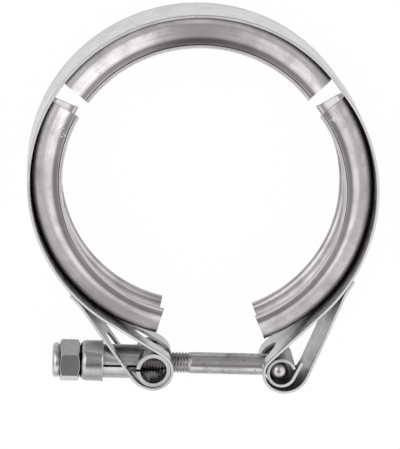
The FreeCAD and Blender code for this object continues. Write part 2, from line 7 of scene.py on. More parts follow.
import logging
import math
from dataclasses import dataclass
from enum import Enum
from typing import Any, Optional, Sequence, Union

import bmesh
import bpy
import numpy as np
from mathutils import Matrix, Vector


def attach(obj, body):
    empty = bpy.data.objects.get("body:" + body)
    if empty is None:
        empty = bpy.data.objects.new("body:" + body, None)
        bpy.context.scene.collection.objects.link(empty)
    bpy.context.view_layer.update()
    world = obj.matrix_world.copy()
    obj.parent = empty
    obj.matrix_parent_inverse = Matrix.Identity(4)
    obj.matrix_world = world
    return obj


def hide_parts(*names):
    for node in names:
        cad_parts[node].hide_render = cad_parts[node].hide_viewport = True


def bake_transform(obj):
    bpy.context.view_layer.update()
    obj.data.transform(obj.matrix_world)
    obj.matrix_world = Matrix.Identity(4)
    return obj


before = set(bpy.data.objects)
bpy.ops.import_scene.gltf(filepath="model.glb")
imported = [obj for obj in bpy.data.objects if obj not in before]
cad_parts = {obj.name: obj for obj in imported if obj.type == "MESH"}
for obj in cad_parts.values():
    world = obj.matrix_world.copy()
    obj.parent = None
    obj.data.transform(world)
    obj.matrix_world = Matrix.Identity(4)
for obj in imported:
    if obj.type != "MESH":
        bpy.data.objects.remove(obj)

log = logging.getLogger("v_band_clamp")
MM = 0.001
Array = np.ndarray


# ---------------------------------------------------------------- plane shapes

def polar(radius: float, angle: float) -> Array:
    """Point at a radius and a clockwise angle in degrees from +Y."""
    turn = math.radians(angle)
    return np.array([radius * math.sin(turn), radius * math.cos(turn)])


def heading(vector: Array) -> float:
    """Counter-clockwise angle of a plane vector from +X, in radians."""
    return math.atan2(vector[1], vector[0])


def turned(points: Array, angle: float, about: Array) -> Array:
    """Plane points turned counter-clockwise about a point.

    Args:
        points: Rows of x and y.
        angle: Turn in degrees.
        about: Centre of the turn.

    Returns:
        The points after p' = about + R(angle) (p - about).
    """
    c, s = math.cos(math.radians(angle)), math.sin(math.radians(angle))
    return (np.asarray(points) - about) @ np.array([[c, s], [-s, c]]) + about


@dataclass(frozen=True)
class Run:
    """Straight piece of a path."""

    start: Array
    end: Array

    def points(self, step: float) -> Array:
        """Points start + t (end - start), with t stepped evenly over the length."""
        count = max(2, int(np.linalg.norm(self.end - self.start) / step) + 1)
        return self.start + np.linspace(0, 1, count)[:, None] * (self.end - self.start)


@dataclass(frozen=True)
class Bend:
    """Arc of a path; turn is +1 for counter-clockwise and -1 for clockwise."""

    centre: Array
    radius: float
    start: float
    end: float
    turn: int

    def points(self, step: float) -> Array:
        """Points centre + radius (cos a, sin a), with the angle a stepped evenly."""
        sweep = (self.turn * (self.end - self.start)) % (2 * math.pi)
        count = max(3, int(sweep * self.radius / step) + 1)
        a = self.start + self.turn * np.linspace(0, sweep, count)
        return self.centre + self.radius * np.stack([np.cos(a), np.sin(a)], axis=1)


def joined(pieces: Sequence[Union[Run, Bend]], step: float) -> Array:
    """Points of several path pieces in order, with meeting points kept once."""
    chain = np.concatenate([piece.points(step) for piece in pieces])
    keep = np.r_[True, np.linalg.norm(np.diff(chain, axis=0), axis=1) > step * 0.05]
    return chain[keep]


def resampled(points: Array, step: float) -> Array:
    """The same line with points a step apart, measured along its length."""
    gaps = np.linalg.norm(np.diff(points, axis=0), axis=1)
    along = np.r_[0, np.cumsum(gaps)]
    even = np.linspace(0, along[-1], int(along[-1] / step) + 1)
    return np.stack([np.interp(even, along, points[:, k]) for k in (0, 1)], axis=1)


def eased(points: Array, reach: float, step: float) -> Array:
    """Line with its corners eased by a Gaussian mean along its length.

    Args:
        points: Evenly spaced points.
        reach: Standard deviation of the mean, in millimetres.
        step: Distance between points.

    Returns:
        p'(i) = sum over j of g(j) p(i + j), with both ends kept in place.
    """
    half = int(3 * reach / step)
    kernel = np.exp(-0.5 * (np.arange(-half, half + 1) * step / reach) ** 2)
    kernel /= kernel.sum()
    first, last = points[0], points[-1]
    before = 2 * first - points[half:0:-1]
    after = 2 * last - points[-2:-half - 2:-1]
    long = np.concatenate([before, points, after])
    return np.stack([np.convolve(long[:, k], kernel, "valid") for k in (0, 1)], axis=1)


def right_normals(points: Array) -> Array:
    """Unit normals on the right of the direction of travel, by central differences."""
    run = np.gradient(points, axis=0)
    run /= np.linalg.norm(run, axis=1, keepdims=True)
    return np.stack([run[:, 1], -run[:, 0]], axis=1)


def sheet_outline(middle: Array, thickness: float, nose: float) -> Array:
    """Closed outline of a bent sheet about its middle line, with eased free edges.

    Each side is middle + w n with w = +-thickness / 2, and each end closes with
    quarter circles of radius nose.
    """
    normal = right_normals(middle)
    half = thickness / 2
    out: list[Array] = []
    for line, side, tangent in ((middle, 1, middle[-1] - middle[-2]),
                                (middle[::-1], -1, middle[0] - middle[1])):
        face = normal if side > 0 else normal[::-1]
        edge = line + side * half * face
        tangent = tangent / np.linalg.norm(tangent)
        gone = np.linalg.norm(edge - edge[-1], axis=1) > nose
        out.append(edge[gone][1:] if len(out) else edge[gone])
        a = np.linspace(0, math.pi / 2, 5)[:, None]
        corner = edge[-1] - side * nose * face[-1] - nose * tangent
        out.append(corner + nose * (np.cos(a) * side * face[-1] + np.sin(a) * tangent))
        corner = edge[-1] - side * (thickness - nose) * face[-1] - nose * tangent
        out.append(corner + nose * (np.sin(a) * -side * face[-1] + np.cos(a) * tangent))
    return np.concatenate(out)


# ---------------------------------------------------------------- meshes

def quads(rows: int, columns: int, wrapped: bool = True) -> Array:
    """Corner numbers of a grid's faces, row after row; wrapped joins each row's ends."""
    i, j = np.arange(rows - 1), np.arange(columns if wrapped else columns - 1)
    i, j = (g.ravel() for g in np.meshgrid(i, j, indexing="ij"))
    i2, j2 = i + 1, (j + 1) % columns
    return np.stack([i * columns + j, i2 * columns + j, i2 * columns + j2, i * columns + j2],
                    axis=1)


def make_piece(name: str, points: Array, faces: Sequence[Any]) -> bpy.types.Object:
    """Object from points in millimetres, welded, outward-facing and smooth by angle.

    Args:
        name: Name of the piece.
        points: Rows of x, y and z in millimetres.
        faces: Corner numbers of each face.

    Returns:
        The object, linked to the scene, at the origin.
    """
    mesh = bpy.data.meshes.new(name)
    corners = [list(map(int, face)) for face in faces]
    mesh.from_pydata((np.asarray(points) * MM).tolist(), [], corners)
    return finished(name, mesh, merge=0.002, sharp=35.0)


def finished(name: str, mesh: bpy.types.Mesh, merge: float, sharp: float,
             outward: bool = True) -> bpy.types.Object:
    """Weld a mesh, face it outwards, shade it smooth by angle and link its object.

    Args:
        name: Name of the piece.
        mesh: Mesh in metres.
        merge: Distance under which points become one, in millimetres.
        sharp: Edges that turn more than this many degrees stay crisp.
        outward: Whether the normals are worked out afresh.

    Returns:
        The object, linked to the scene, at the origin.
    """
    work = bmesh.new()
    work.from_mesh(mesh)
    bmesh.ops.remove_doubles(work, verts=work.verts, dist=merge * MM)
    bmesh.ops.dissolve_degenerate(work, edges=work.edges, dist=merge * MM * 0.2)
    if outward:
        bmesh.ops.recalc_face_normals(work, faces=work.faces)
    work.to_mesh(mesh)
    work.free()
    mesh.shade_smooth()
    mesh.set_sharp_from_angle(angle=math.radians(sharp))
    piece = bpy.data.objects.new(name, mesh)
    bpy.context.scene.collection.objects.link(piece)
    return piece


def rounded_edges(piece: bpy.types.Object, width: float) -> None:
    """Ease a piece's crisp edges by a width in millimetres, applied to its mesh."""
    bevel = piece.modifiers.new("eased_edges", "BEVEL")
    bevel.width = width * MM
    bevel.segments = 2
    bevel.limit_method = "ANGLE"
    bevel.angle_limit = math.radians(40)
    bevel.use_clamp_overlap = True
    weighted = piece.modifiers.new("flat_faces_stay_flat", "WEIGHTED_NORMAL")
    weighted.keep_sharp = True
    graph = bpy.context.evaluated_depsgraph_get()
    mesh = bpy.data.meshes.new_from_object(piece.evaluated_get(graph))
    old = piece.data
    piece.modifiers.clear()
    piece.data = mesh
    bpy.data.meshes.remove(old)
    mesh.name = piece.name


@dataclass
class BentSheet:
    """Strip of sheet that follows a plane line, cut in two along its middle plane.

    A point is p(s) + w n(s) + z k. In each half z runs from the inner edge to the outer
    edge at w = +t/2, rounds the edge, and runs back at w = -t/2.
    """

    line: Array
    normal: Array
    thickness: float
    inner: Array
    top: Array
    low: Array
    nose: float = 0.16

    def half(self, z_in: Array, z_out: Array, first: int) -> tuple[Array, list[list[int]]]:
        """Points and faces of one half, where its outer edge lies beyond its inner one."""
        here = np.flatnonzero(z_out > z_in + 0.02)
        z_in, z_out = z_in[here][:, None], z_out[here][:, None]
        nose = np.minimum(self.nose, (z_out - z_in) / 2.5)
        half = self.thickness / 2
        a = np.linspace(0, math.pi / 2, 4)[1:]
        flat = np.array([0, 0.1, 0.35, 0.65, 0.9, 1.0])
        ones = np.ones((len(here), 6))
        w = np.concatenate([half * ones, half - nose + nose * np.cos(a),
                            nose - half - nose * np.sin(a[:-1]), -half * ones], axis=1)
        rise = z_out - nose - z_in
        z = np.concatenate([z_in + rise * flat, z_out - nose + nose * np.sin(a),
                            z_out - nose + nose * np.cos(a[:-1]), z_in + rise * flat[::-1]],
                           axis=1)
        rows, columns = z.shape
        plane = self.line[here][:, None, :] + w[:, :, None] * self.normal[here][:, None, :]
        grid = np.concatenate([plane, z[:, :, None]], axis=2).reshape(-1, 3)
        cut = ((z_in[:-1] > 0) | (z_in[1:] > 0)).ravel()
        i = np.arange(rows - 1)[cut] * columns
        wall = np.stack([i, i + columns - 1, i + 2 * columns - 1, i + columns], axis=1)
        faces = [list(f) for f in np.concatenate([quads(rows, columns, wrapped=False), wall])]
        faces += [list(range(columns)), list(range((rows - 1) * columns, rows * columns))]
        return grid, [[v + first for v in face] for face in faces]

    def build(self, name: str) -> bpy.types.Object:
        """Both halves as one piece."""
        upper, faces = self.half(np.maximum(self.inner, self.low), self.top, 0)
        lower, more = self.half(self.inner, -self.low, len(upper))
        lower = lower * np.array([1, 1, -1])
        return make_piece(name, np.concatenate([upper, lower]),
                          faces + [face[::-1] for face in more])


def swept(name: str, section: Array, angles: Array) -> bpy.types.Object:
    """Section of radius and height turned about Z: (r sin a, r cos a, z) for each angle a."""
    a = np.radians(angles)[:, None]
    r, z = section[:, 0][None, :], section[:, 1][None, :]
    grid = np.stack([r * np.sin(a), r * np.cos(a), z + 0 * a], axis=2).reshape(-1, 3)
    rows, columns = len(angles), len(section)
    faces = [list(f) for f in quads(rows, columns)]
    faces += [list(range(columns)), list(range((rows - 1) * columns, rows * columns))]
    piece = make_piece(name, grid, faces)
    places = np.zeros(len(piece.data.vertices) * 3, np.float32)
    piece.data.vertices.foreach_get("co", places)
    places = places.reshape(-1, 3) / MM
    layer = piece.data.attributes.new("ring_radius", "FLOAT", "POINT")
    layer.data.foreach_set("value", np.hypot(places[:, 0], places[:, 1]).astype(np.float32))
    return piece


def lathed(profile: Array, around: int) -> tuple[Array, list[list[int]]]:
    """Profile of place and radius turned about the X axis.

    Args:
        profile: Rows of x and radius; a radius of 0 is a pole.
        around: Number of steps round the axis.

    Returns:
        Points (x, r cos a, r sin a) and the faces between them.
    """
    a = np.linspace(0, 2 * math.pi, around, endpoint=False)[None, :]
    x, r = profile[:, 0][:, None], profile[:, 1][:, None]
    grid = np.stack([x + 0 * a, r * np.cos(a), r * np.sin(a)], axis=2).reshape(-1, 3)
    return grid, [list(f) for f in quads(len(profile), around)]


# ---------------------------------------------------------------- shader maths

Value = Union["Sock", float, int]


class Sock:
    """Value socket in a node tree; arithmetic on it adds Math nodes."""

    def __init__(self, shader: "Shader", socket: bpy.types.NodeSocket) -> None:
        """Keep the tree's shader and the output socket that carries the value."""
        self.shader, self.socket = shader, socket

    def op(self, operation: str, *values: Value, flipped: bool = False) -> "Sock":
        """Math node on this value and others; flipped puts this value second."""
        terms: list[Value] = [self, *values]
        if flipped:
            terms[0], terms[1] = terms[1], terms[0]
        return self.shader.node("ShaderNodeMath", {"operation": operation},
                                dict(enumerate(terms)))

    def __add__(self, other: Value) -> "Sock":
        """Sum."""
        return self.op("ADD", other)

    __radd__ = __add__

    def __mul__(self, other: Value) -> "Sock":
        """Product."""
        return self.op("MULTIPLY", other)

    __rmul__ = __mul__

    def __sub__(self, other: Value) -> "Sock":
        """Difference."""
        return self.op("SUBTRACT", other)

    def __rsub__(self, other: Value) -> "Sock":
        """Difference from a number on the left."""
        return self.op("SUBTRACT", other, flipped=True)

    def __abs__(self) -> "Sock":
        """Size without sign."""
        return self.op("ABSOLUTE")

    def step(self, low: float, high: float) -> "Sock":
        """Smooth step: 0 below low, 1 above high, and 3t^2 - 2t^3 between."""
        return self.shader.node("ShaderNodeMapRange", {"interpolation_type": "SMOOTHSTEP"},
                                {"Value": self, "From Min": low, "From Max": high})


class Shader:
    """Node tree of a material or the world, built by expressions."""

    def __init__(self, tree: bpy.types.NodeTree) -> None:
        """Start from an empty tree."""
        self.tree = tree
        tree.nodes.clear()

    def node(self, kind: str, settings: Optional[dict[str, Any]] = None,
             sockets: Optional[dict[Union[str, int], Any]] = None,
             output: Union[str, int] = 0) -> Sock:
        """Any node.

        Args:
            kind: The node's type.
            settings: Its properties, set first.
            sockets: Values or links of its inputs, by name or number.
            output: Name or number of the output that is returned.

        Returns:
            The chosen output as a Sock.
        """
        made = self.tree.nodes.new(kind)
        for key, value in (settings or {}).items():
            setattr(made, key, value)
        for key, value in (sockets or {}).items():
            if isinstance(value, Sock):
                self.tree.links.new(value.socket, made.inputs[key])
            else:
                made.inputs[key].default_value = value
        if not made.outputs:
            return Sock(self, made.inputs[0])
        return Sock(self, made.outputs[output])

    def place(self) -> Sock:
        """Object coordinates, in metres."""
        return self.node("ShaderNodeTexCoord", output="Object")

    def axes(self) -> tuple[Sock, Sock, Sock]:
        """The three object coordinates, in millimetres."""
        parts = self.node("ShaderNodeSeparateXYZ", {}, {0: self.place()})
        node = parts.socket.node
        return tuple(Sock(self, node.outputs[k]) * 1000.0 for k in range(3))

    def vector(self, x: Value, y: Value, z: Value) -> Sock:
        """Vector of three values."""
        return self.node("ShaderNodeCombineXYZ", {}, {0: x, 1: y, 2: z})

    def noise(self, where: Sock, scale: float, detail: float = 3.0,
              roughness: float = 0.55) -> Sock:
        """Noise between 0 and 1 at a scale."""
        return self.node("ShaderNodeTexNoise", {"noise_dimensions": "3D"},
                         {"Vector": where, "Scale": scale, "Detail": detail,
                          "Roughness": roughness})

    def near(self, spot: Sequence[float], low: float, high: float) -> Sock:
        """Mask that is 1 within low and 0 beyond high millimetres of a spot."""
        gap = self.node("ShaderNodeVectorMath", {"operation": "DISTANCE"},
                        {0: self.place(), 1: [v * MM for v in spot]}, "Value")
        return 1.0 - (gap * 1000.0).step(low, high)

    def blend(self, amount: Value, low: Any, high: Any) -> Sock:
        """Colour between two colours."""
        return self.node("ShaderNodeMix", {"data_type": "RGBA"},
                         {0: amount, 6: low, 7: high}, 2)


def colour(level: float, warmth: float = 0.0) -> tuple[float, float, float, float]:
    """Linear grey of a level, warmed or cooled by a few percent."""
    return (level * (1 + warmth), level * (1 - 0.3 * warmth), level * (1 - 0.2 * warmth), 1.0)


# ---------------------------------------------------------------- finishes

class Grain(Enum):
    """Direction in which rolling or turning left its fine lines."""

    STRIP = "along the strap"
    ROUND = "round the ring"
    BOLT = "along the bolt"
    TURNED = "round the bolt"


@dataclass(frozen=True)
class Steel:
    """Stainless finish: its grey, its gloss, its grain and its stains.

    Greys are linear. Mottle is the share by which broad patches darken, and scratch that
    of fine lines. Cut is how far sheared edges take their own grey. The recess shade is
    painted shade: how far a near-black darkens the steel in its recesses, where less than
    its low to high share of the air within reach (in millimetres) is open. Welds and dents
    are the places of the dark weld marks and the bright tool marks.
    """

    name: str
    slot: str
    grey: float
    warmth: float
    rough: float
    grain: Grain
    mottle: float = 0.22
    scratch: float = 0.12
    stain: float = 0.0
    relief: float = 0.00002
    cut: float = 0.9
    recess_shade: float = 0.8
    recess_shade_low: float = 0.25
    recess_shade_high: float = 0.8
    reach: float = 7.0
    welds: tuple[tuple[float, float, float], ...] = ()
    dents: tuple[tuple[float, float, float], ...] = ()

    def grain_vector(self, shader: Shader, turn: float) -> Sock:
        """Coordinates that are stretched along the grain."""
        x, y, z = shader.axes()
        if self.grain is Grain.STRIP:
            return shader.vector(x * 0.05, y * 0.05, z * 4.0)
        if self.grain is Grain.ROUND:
            radius = self.ring_radius(shader)
            return shader.vector(x * 0.04, y * 0.04, (radius + z * 0.8) * 3.5)
        c, s = math.cos(turn), math.sin(turn)
        along = x * c + y * s
        across = y * c - x * s
        if self.grain is Grain.BOLT:
            return shader.vector(along * 0.12, across * 4.0, z * 4.0)
        return shader.vector(along * 5.0, across * 0.15, z * 0.15)

    @staticmethod
    def ring_radius(shader: Shader) -> Sock:
        """Distance from the ring's axis before an arm swings, kept on the piece."""
        return shader.node("ShaderNodeAttribute", {"attribute_name": "ring_radius"},
                           output="Fac")

    def material(self, turn: float = 0.0) -> bpy.types.Material:
        """Node material of this finish.

        Args:
            turn: Turn of the bolt's line, in radians.

        Returns:
            The material.
        """
        made = bpy.data.materials.new(self.name)
        made.use_nodes = True
        shader = Shader(made.node_tree)
        place = shader.place()
        lines = shader.noise(self.grain_vector(shader, turn), 1.0, 4.0, 0.7)
        patches = shader.noise(place, 160.0, 4.0, 0.6)
        specks = shader.noise(place, 1500.0, 2.0, 0.5)
        smear = shader.noise(place, 420.0, 3.0, 0.65)

        worn = patches.step(0.38, 0.68)
        scored = lines.step(0.35, 0.72)
        darker = worn * self.mottle + scored * self.scratch
        facing = shader.node("ShaderNodeSeparateXYZ", {}, {0: shader.node(
            "ShaderNodeNewGeometry", output="Normal")}).socket.node
        edge = abs(Sock(shader, facing.outputs[2])).step(0.955, 0.995) * self.cut
        base = shader.blend(darker, colour(self.grey, self.warmth),
                            colour(self.grey * 0.25, self.warmth * 1.5))
        base = shader.blend(edge * (1.0 - scored * 0.3), base, colour(0.62, self.warmth))
        # Painted shade: recesses found by ambient occlusion are darkened towards near-black
        # colour(0.02).
        open_air = shader.node("ShaderNodeAmbientOcclusion", {"samples": 6},
                               {"Distance": self.reach * MM}, "AO")
        recess_shade = 1.0 - open_air.step(self.recess_shade_low, self.recess_shade_high)
        # The painted recess shade on the retainers is weaker towards -Y.
        if self.grain is Grain.ROUND:
            recess_shade = recess_shade * (0.25 + shader.axes()[1].step(-42.0, -14.0) * 0.75)
        base = shader.blend(recess_shade * self.recess_shade, base, colour(0.02, 0.05))
        if self.stain:
            dirty = smear.step(0.5, 0.72) * specks.step(0.4, 0.6) * self.stain
            base = shader.blend(dirty, base, colour(0.09, 0.06))
        # Painted shade: a dark band along the retainers' inner foot bend, near radius 41.45 mm
        # and beyond 4.4 mm from the middle plane.
        if self.grain is Grain.ROUND:
            height = abs(shader.axes()[2])
            fold = 1.0 - abs(self.ring_radius(shader) - 41.45).step(0.3, 1.45)
            crease_shade = fold * height.step(4.4, 5.2)
            base = shader.blend(crease_shade * 0.85, base, colour(0.07, 0.06))
        # Painted shade: dark bands on the strap's faces next to its long edges.
        if self.grain is Grain.STRIP:
            rim = abs(shader.axes()[2]).step(8.6, 9.15) * (1.0 - edge)
            base = shader.blend(rim * 0.55, base, colour(0.08, 0.03))
        for spot in self.dents:
            dent = shader.near(spot, 0.3, 1.7) * specks.step(0.48, 0.62)
            base = shader.blend(dent * 0.5, base, colour(0.95))
        for spot in self.welds:
            base = shader.blend(shader.near(spot, 0.25, 0.55), base, colour(0.05, 0.05))
        rough = (self.rough + (worn - 0.5) * 0.10 + (scored - 0.5) * 0.08 + recess_shade * 0.1
                 + edge * 0.15)
        bump = shader.node("ShaderNodeBump", {}, {
            "Strength": 0.35, "Distance": self.relief,
            "Height": lines + specks * 0.35 + patches * 1.5})
        surface = shader.node("ShaderNodeBsdfPrincipled", {}, {
            "Base Color": base, "Metallic": 1.0, "Roughness": rough, "Normal": bump})
        shader.node("ShaderNodeOutputMaterial", {}, {"Surface": surface})
        return made


# ---------------------------------------------------------------- strap

@dataclass(frozen=True)
class Arm:
    """One end of the strap: swing in, loop centre, loop radius, wider bend and tail."""

    side: int
    swing: float
    pivot: float
    angle: float
    roll: float
    belly: float
    belly_from: float
    tail: float


LEFT = Arm(-1, 0.0, 58.0, 13.3, 5.15, 7.7, 262.0, 48.3)
RIGHT = Arm(+1, -5.6, 58.25, 16.1, 4.9, 6.6, 229.5, 52.5)


@dataclass
class Strap:
    """One-piece strap: ring, sprung arms, loops and welded tails, in two halves."""

    radius: float = 49.5
    thickness: float = 0.8
    width: float = 19.05
    weld_gap: float = 0.05
    tail_lap: float = 2.6
    tail_bend: float = 18.0
    hinge_angle: float = 56.9
    step: float = 0.2
    weld_marks: tuple[tuple[float, float, float], ...] = (
        (-28.78, -44.09, 0.0), (37.92, -44.15, 0.0), (-28.9, -43.9, 0.3))
    leg_slot_half: float = 3.4
    leg_slot_top: float = -46.1
    tube_slot_half: float = 5.5
    tube_slot_top: float = -46.64
    bolt_slot_half: float = 4.1
    bolt_slot_rise: float = 6.4
    bolt_slot_drop: float = 4.8
    flex_start: float = 53.5
    flex_end: float = 60.3

    def hinge(self, arm: Arm) -> Array:
        """Flex line of an arm, on the inner face of the strap."""
        return polar(self.radius - self.thickness, arm.side * self.hinge_angle)

    def loop_centre(self, arm: Arm) -> Array:
        """Centre of an arm's loop, where its swing puts it."""
        centre = polar(arm.pivot, 180 - arm.side * arm.angle)
        return turned(centre[None, :], -arm.side * arm.swing, self.hinge(arm))[0]

    def middle_line(self, arm: Arm) -> Array:
        """Middle line from the crown's middle, round the loop, to the tail's tip."""
        side = arm.side
        half = self.thickness / 2
        ring = self.radius - half
        loop, belly = arm.roll + half, arm.belly + half
        centre = polar(arm.pivot, 180 - side * arm.angle)
        unit = centre / np.linalg.norm(centre)
        away = side * math.acos((ring + loop) / np.linalg.norm(centre))
        normal = turned(unit, math.degrees(away), np.zeros(2))
        belly_centre = centre + (loop - belly) * polar(1.0, 90 - arm.belly_from)
        tail = self.radius + self.weld_gap + half
        bend_at = polar(1.0, 180 - side * (arm.tail - self.tail_lap))
        bend_centre = bend_at * (tail + self.tail_bend)
        reach = bend_centre - belly_centre
        lean = -side * math.acos((belly + self.tail_bend) / np.linalg.norm(reach))
        outward = turned(reach / np.linalg.norm(reach), math.degrees(lean), np.zeros(2))
        hinge = heading(polar(1.0, side * self.hinge_angle))
        tip = heading(polar(1.0, 180 - side * arm.tail))
        split = math.radians(arm.belly_from)
        crown = Bend(np.zeros(2), ring, math.pi / 2, hinge, -side).points(self.step)
        sprung = joined([
            Bend(np.zeros(2), ring, hinge, heading(normal), -side),
            Run(normal * ring, centre - normal * loop),
            Bend(centre, loop, heading(-normal), split, side),
            Bend(belly_centre, belly, split, heading(outward), side),
            Run(belly_centre + outward * belly, bend_centre - outward * self.tail_bend),
            Bend(bend_centre, self.tail_bend, heading(-outward), heading(-bend_at), -side),
            Bend(np.zeros(2), tail, heading(bend_at), tip, side)], self.step)
        sprung = turned(sprung, -side * arm.swing, self.hinge(arm))
        line = resampled(np.concatenate([crown, sprung[2:]]), self.step)
        return eased(line, 0.7, self.step)

    def slot_half(self, arm: Arm, line: Array) -> Array:
        """Half-width of the slot at each point of the line.

        It is r in the slot, the square root of r^2 - (y - end)^2 in its round end,
        and 0 elsewhere.
        """
        centre = self.loop_centre(arm)
        if arm.side < 0:
            lead = np.arange(len(line)) < np.argmin(line[:, 1])
            radius = np.where(lead, self.leg_slot_half, self.tube_slot_half)
            top, low = np.where(lead, self.leg_slot_top, self.tube_slot_top), -np.inf
            here = np.ones(len(line), bool)
        else:
            radius, top = self.bolt_slot_half, centre[1] + self.bolt_slot_rise
            low, here = centre[1] - self.bolt_slot_drop, line[:, 0] < centre[0]
        depth = top - radius - line[:, 1]
        half = np.where(depth >= 0, radius, np.sqrt(np.maximum(radius**2 - depth**2, 0.0)))
        half = np.where(depth < -radius, 0.0, half)
        return np.where(here & (line[:, 1] > low), half, 0.0)

    def half_strap(self, name: str, arm: Arm) -> bpy.types.Object:
        """One half of the strap, from the crown's middle to the tail's tip."""
        line = self.middle_line(arm)
        normal = right_normals(line) * -arm.side
        edge = np.full(len(line), self.width / 2)
        return BentSheet(line, normal, self.thickness, self.slot_half(arm, line), edge,
                         -edge).build(name)

    def build(self) -> None:
        """Both halves, each baked in place where it lies."""
        finish = Steel("rolled_strip_steel", "strap_steel", 0.72, 0.008, 0.30, Grain.STRIP,
                       mottle=0.10, scratch=0.14, recess_shade=0.85, recess_shade_low=0.03, recess_shade_high=0.45,
                       welds=self.weld_marks).material()
        for arm, name, body, nodes in (
                (LEFT, "strap_left_half", "left_arm", ("strap_left", "strap_crown")),
                (RIGHT, "strap_right_half", "right_arm", ("strap_right",))):
            piece = self.half_strap(name, arm)
            piece.data.materials.append(finish)
            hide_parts(*nodes)
            middle = self.radius - self.thickness / 2
            start, end = (Vector((*(polar(middle, arm.side * a) * MM), 0.0))
                          for a in (self.flex_start, self.flex_end))
            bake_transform(piece)
            log.info("%s: %d faces", name, len(piece.data.polygons))


# ---------------------------------------------------------------- retainers

@dataclass
class Retainers:
    """Three roll-formed V retainers inside the strap."""

    strap: Strap
    crown_span: float = 106.4
    arm_span: float = 104.6
    gap: float = 7.4
    thickness: float = 1.0
    foot_radius: float = 39.4
    foot_reach: float = 7.15
    foot_corner: float = 6.0
    flank_angle: float = 20.0
    web_bend: float = 3.4
    foot_bend: float = 1.0
    tool_marks: tuple[tuple[float, float, float], ...] = (
        (-39.6, 16.5, 5.4), (-39.2, 14.2, 5.5), (-29.8, 31.9, 5.2), (39.0, 18.3, 5.4))

    def section(self) -> Array:
        """Middle line of the V section: radius and height, from foot to foot."""
        half = self.thickness / 2
        web = self.strap.radius - self.strap.thickness - self.strap.weld_gap - half
        foot = self.foot_radius + half
        slope = math.radians(self.flank_angle)
        web_corner = self.foot_corner - (web - foot) * math.tan(slope)
        down = np.array([-math.cos(slope), math.sin(slope)])
        cut = math.tan((math.pi / 2 - slope) / 2)
        corner, toe = np.array([web, web_corner]), np.array([foot, self.foot_corner])
        web_centre = np.array([web - self.web_bend, web_corner - self.web_bend * cut])
        foot_centre = np.array([foot + self.foot_bend,
                                self.foot_corner + self.foot_bend * cut])
        start, end = corner + down * self.web_bend * cut, toe - down * self.foot_bend * cut
        upper = joined([
            Run(np.array([web, 0.0]), np.array([web, web_centre[1]])),
            Bend(web_centre, self.web_bend, 0.0, heading(start - web_centre), 1),
            Run(start, end),
            Bend(foot_centre, self.foot_bend, heading(end - foot_centre), math.pi, -1),
            Run(np.array([foot, foot_centre[1]]), np.array([foot, self.foot_reach]))], 0.25)
        return np.concatenate([upper[::-1] * np.array([1, -1]), upper[1:]])

    def build(self) -> None:
        """The three arcs, the right one swung out with its arm."""
        outline = sheet_outline(self.section(), self.thickness, 0.22)
        along = (self.crown_span + self.arm_span) / 2 + self.gap
        finish = Steel("formed_sheet_steel", "retainer_steel", 0.50, 0.035, 0.24, Grain.ROUND,
                       mottle=0.26, scratch=0.20, recess_shade=0.72, recess_shade_low=0.03,
                       recess_shade_high=0.55, reach=3.4, dents=self.tool_marks).material()
        for name, node, body, span, middle, arm in (
                ("crown_v_retainer", "retainer_crown", "crown", self.crown_span, 0.0, None),
                ("left_v_retainer", "retainer_left", "left_arm", self.arm_span, -along, LEFT),
                ("right_v_retainer", "retainer_right", "right_arm", self.arm_span, along,
                 RIGHT)):
            angles = middle + np.linspace(-span / 2, span / 2, 141)
            piece = swept(name, outline, angles)
            if arm and arm.swing:
                hinge = Vector((*(self.strap.hinge(arm) * MM), 0.0))
                swing = math.radians(-arm.side * arm.swing)
                piece.data.transform(Matrix.Translation(hinge) @ Matrix.Rotation(swing, 4, "Z")
                                     @ Matrix.Translation(-hinge))
            rounded_edges(piece, 0.12)
            piece.data.materials.append(finish)
            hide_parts(node)
            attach(piece, body)
            log.info("%s: %d faces", name, len(piece.data.polygons))


# ---------------------------------------------------------------- bolt's line

